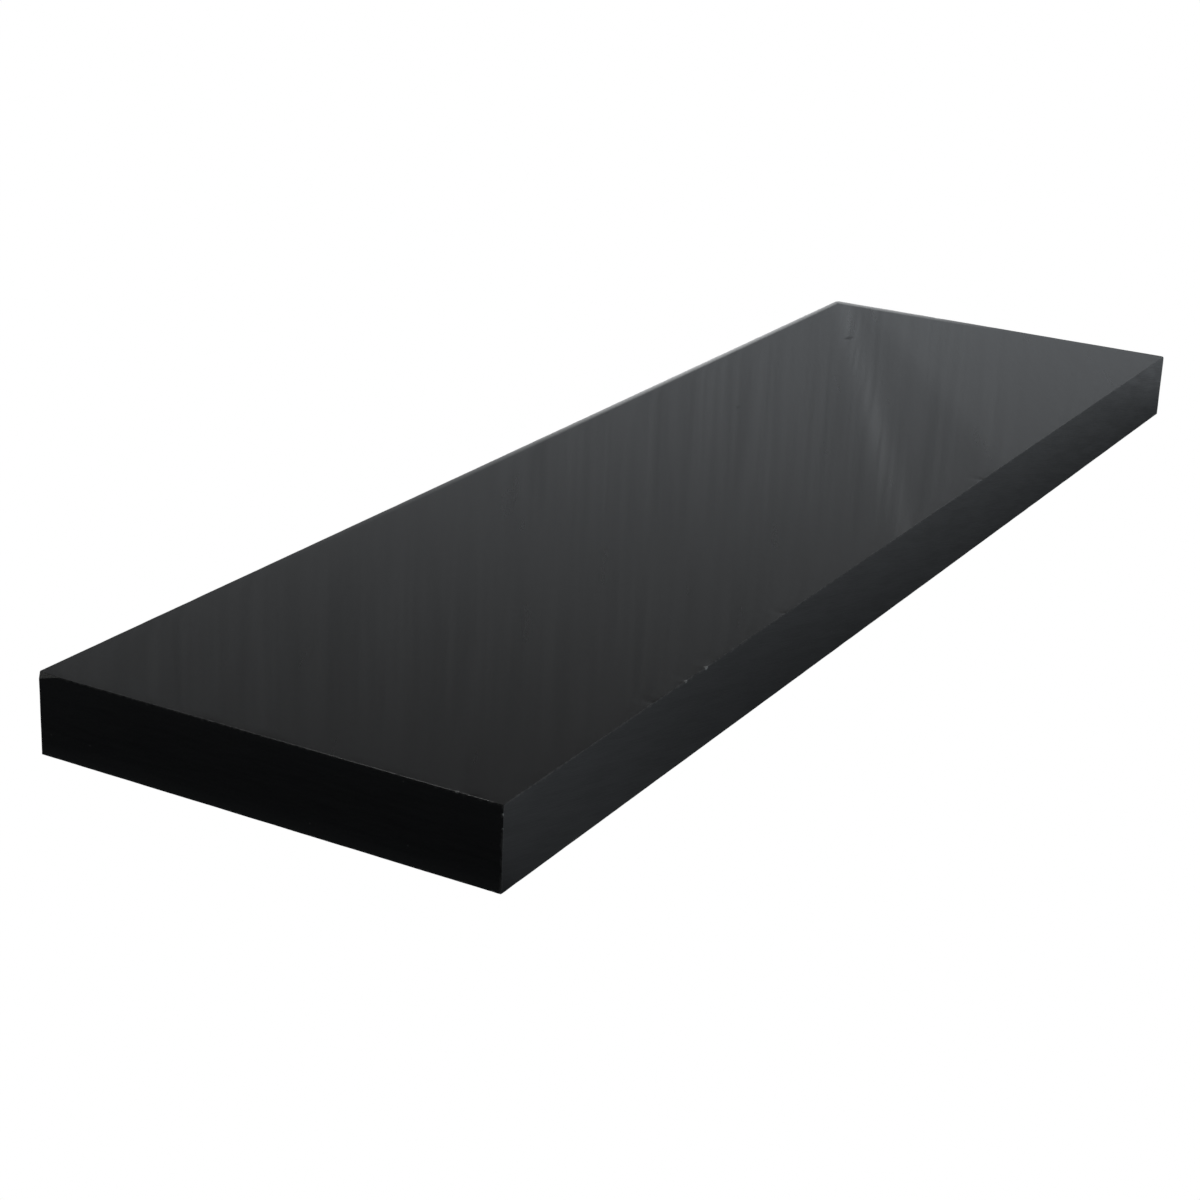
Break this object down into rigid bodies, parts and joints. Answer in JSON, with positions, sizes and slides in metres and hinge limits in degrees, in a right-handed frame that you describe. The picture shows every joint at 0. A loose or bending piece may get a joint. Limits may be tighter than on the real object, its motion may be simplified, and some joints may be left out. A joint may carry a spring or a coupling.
{
  "type": "kick plate",
  "caption": "Thick solid rectangular plate of black plastic with a smooth satin face and sawn edges, fixed flat across the foot of a door or gate to take kicks and scuffs.",
  "frame": {"origin": "centre of the back face, the large face that lies against the door", "axes": "+X along the plate's length, +Y up the door across the plate, +Z out of the back through the thickness to the wear face"},
  "size_m": [1.0668, 0.3048, 0.0508],
  "materials": {
    "black_plastic": "satin pressed skin on the two large faces, matt saw-cut edges with fine slanting blade marks, arrises scraped off by hand"
  },
  "bodies": {
    "root": {"plate_slab": "black_plastic"}
  },
  "joints": []
}
